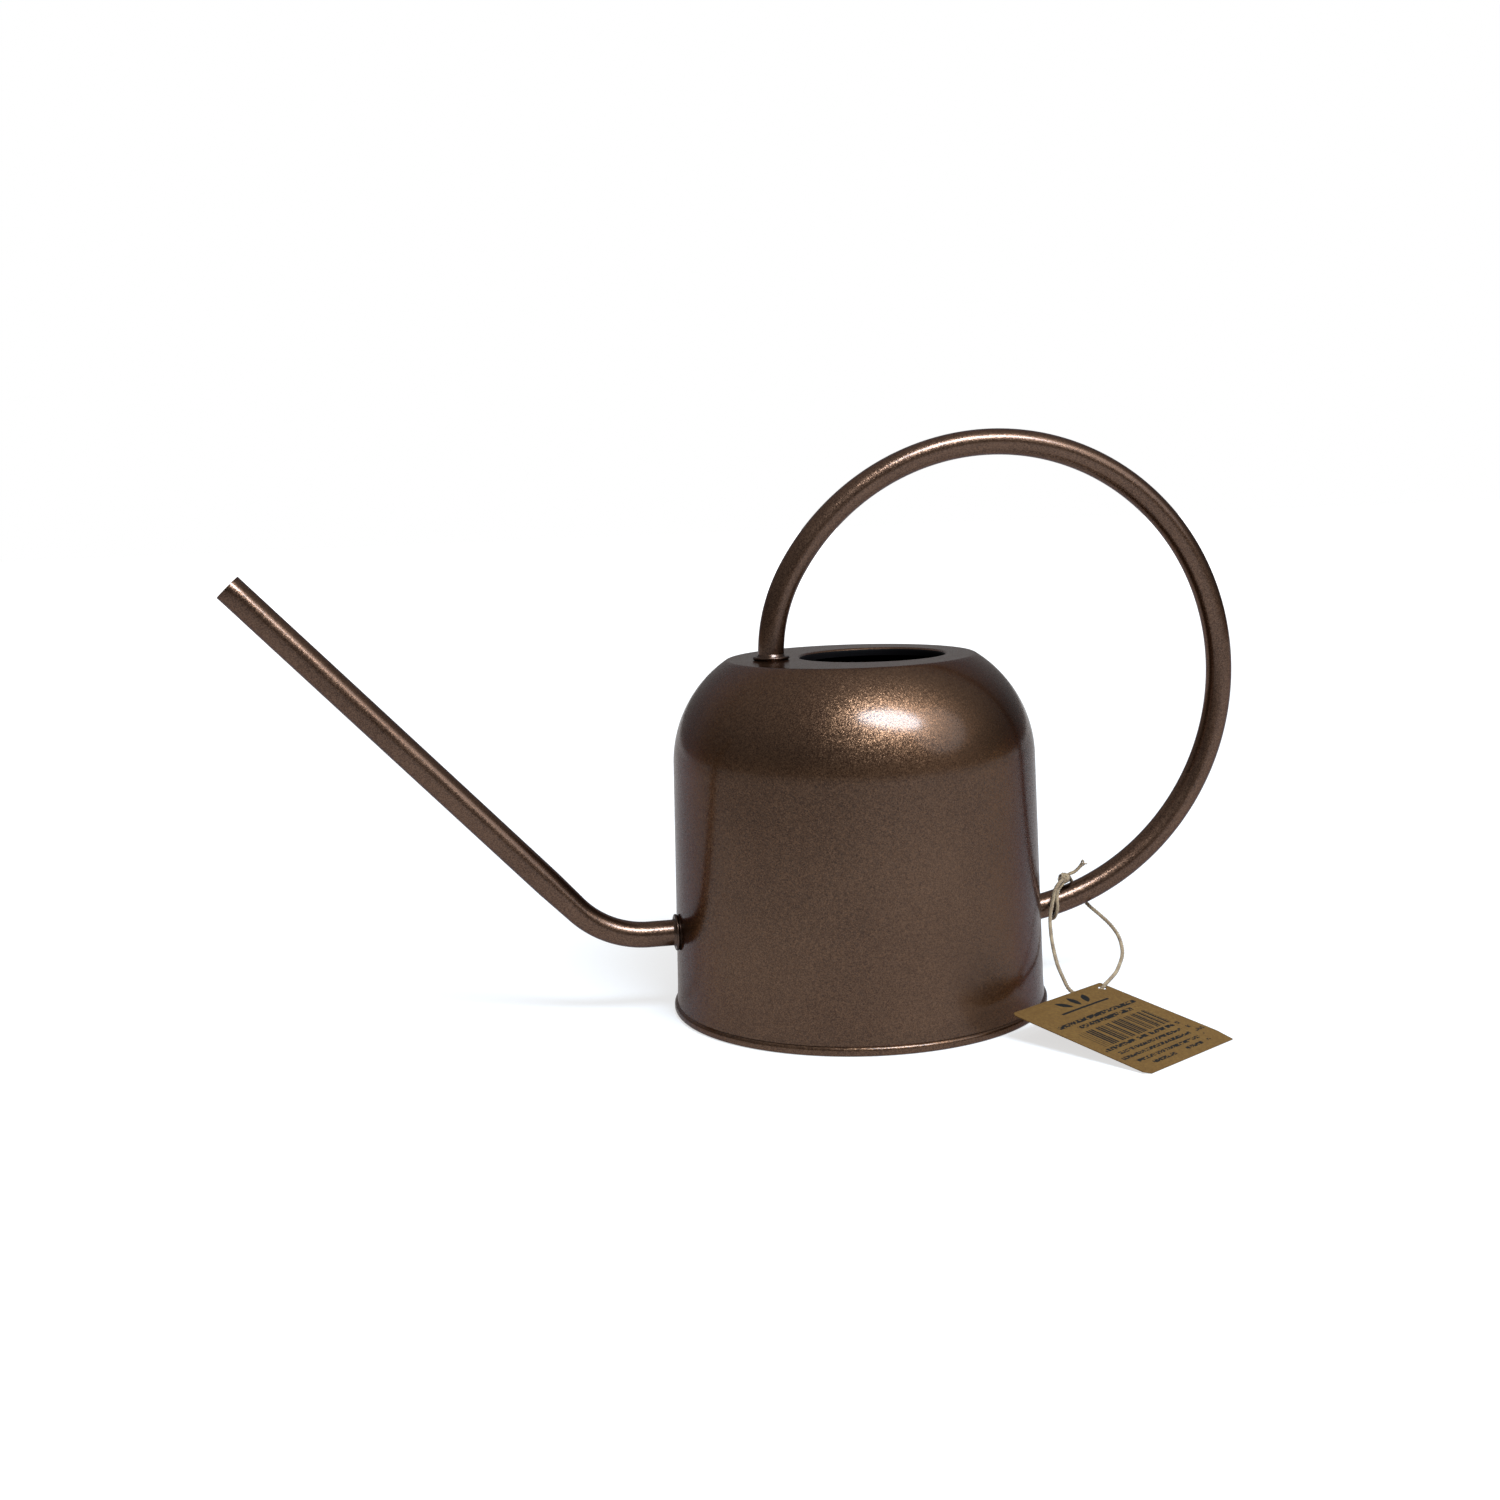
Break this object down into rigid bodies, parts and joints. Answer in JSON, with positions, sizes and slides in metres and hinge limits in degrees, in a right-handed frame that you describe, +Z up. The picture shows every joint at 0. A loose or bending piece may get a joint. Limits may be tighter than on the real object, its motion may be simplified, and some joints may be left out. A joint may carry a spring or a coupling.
{
  "type": "watering can",
  "caption": "Small indoor watering can with a long bent spout, a domed shoulder, an offset round mouth, a ring handle and a card swing tag on twine.",
  "frame": {"origin": "the body's axis at the level the can stands on", "axes": "+Z up; +X towards the handle, the can's long direction; -X towards the spout; -Y towards a viewer who has the spout on the left"},
  "size_m": [0.3629, 0.1783, 0.2061],
  "materials": {
    "body_paint": "gloss copper-brown metallic lacquer with a fine flake",
    "tube_paint": "gloss copper-brown metallic lacquer",
    "ferrule_paint": "gloss dark copper-brown metallic lacquer",
    "braze_metal": "dull, as cooled",
    "kraft_card": "uncoated kraft card, printed in dark grey",
    "jute_twine": "twisted jute with loose fibres"
  },
  "bodies": {
    "can": {"body_shell": "body_paint", "base_pan": "body_paint", "spout_tube": "tube_paint", "spout_ferrule": "ferrule_paint", "spout_braze": "braze_metal", "handle_tube": "tube_paint", "handle_front_ferrule": "ferrule_paint", "handle_rear_ferrule": "ferrule_paint", "handle_front_braze": "braze_metal", "handle_rear_braze": "braze_metal"},
    "twine": {"twine_loop": "jute_twine", "twine_knot": "jute_twine"},
    "tag": {"hang_tag": "kraft_card"}
  },
  "joints": [
    {"name": "twine_swing", "type": "hinge", "parent": "can", "child": "twine", "pos_m": [0.078, 0, 0.032], "axis": [0.9607, 0, 0.2775], "range_deg": [-28, 0]},
    {"name": "tag_turn", "type": "hinge", "parent": "twine", "child": "tag", "pos_m": [0.078, -0.0415, 0.009], "axis": [0, 0, 1], "range_deg": [0, 60]}
  ]
}
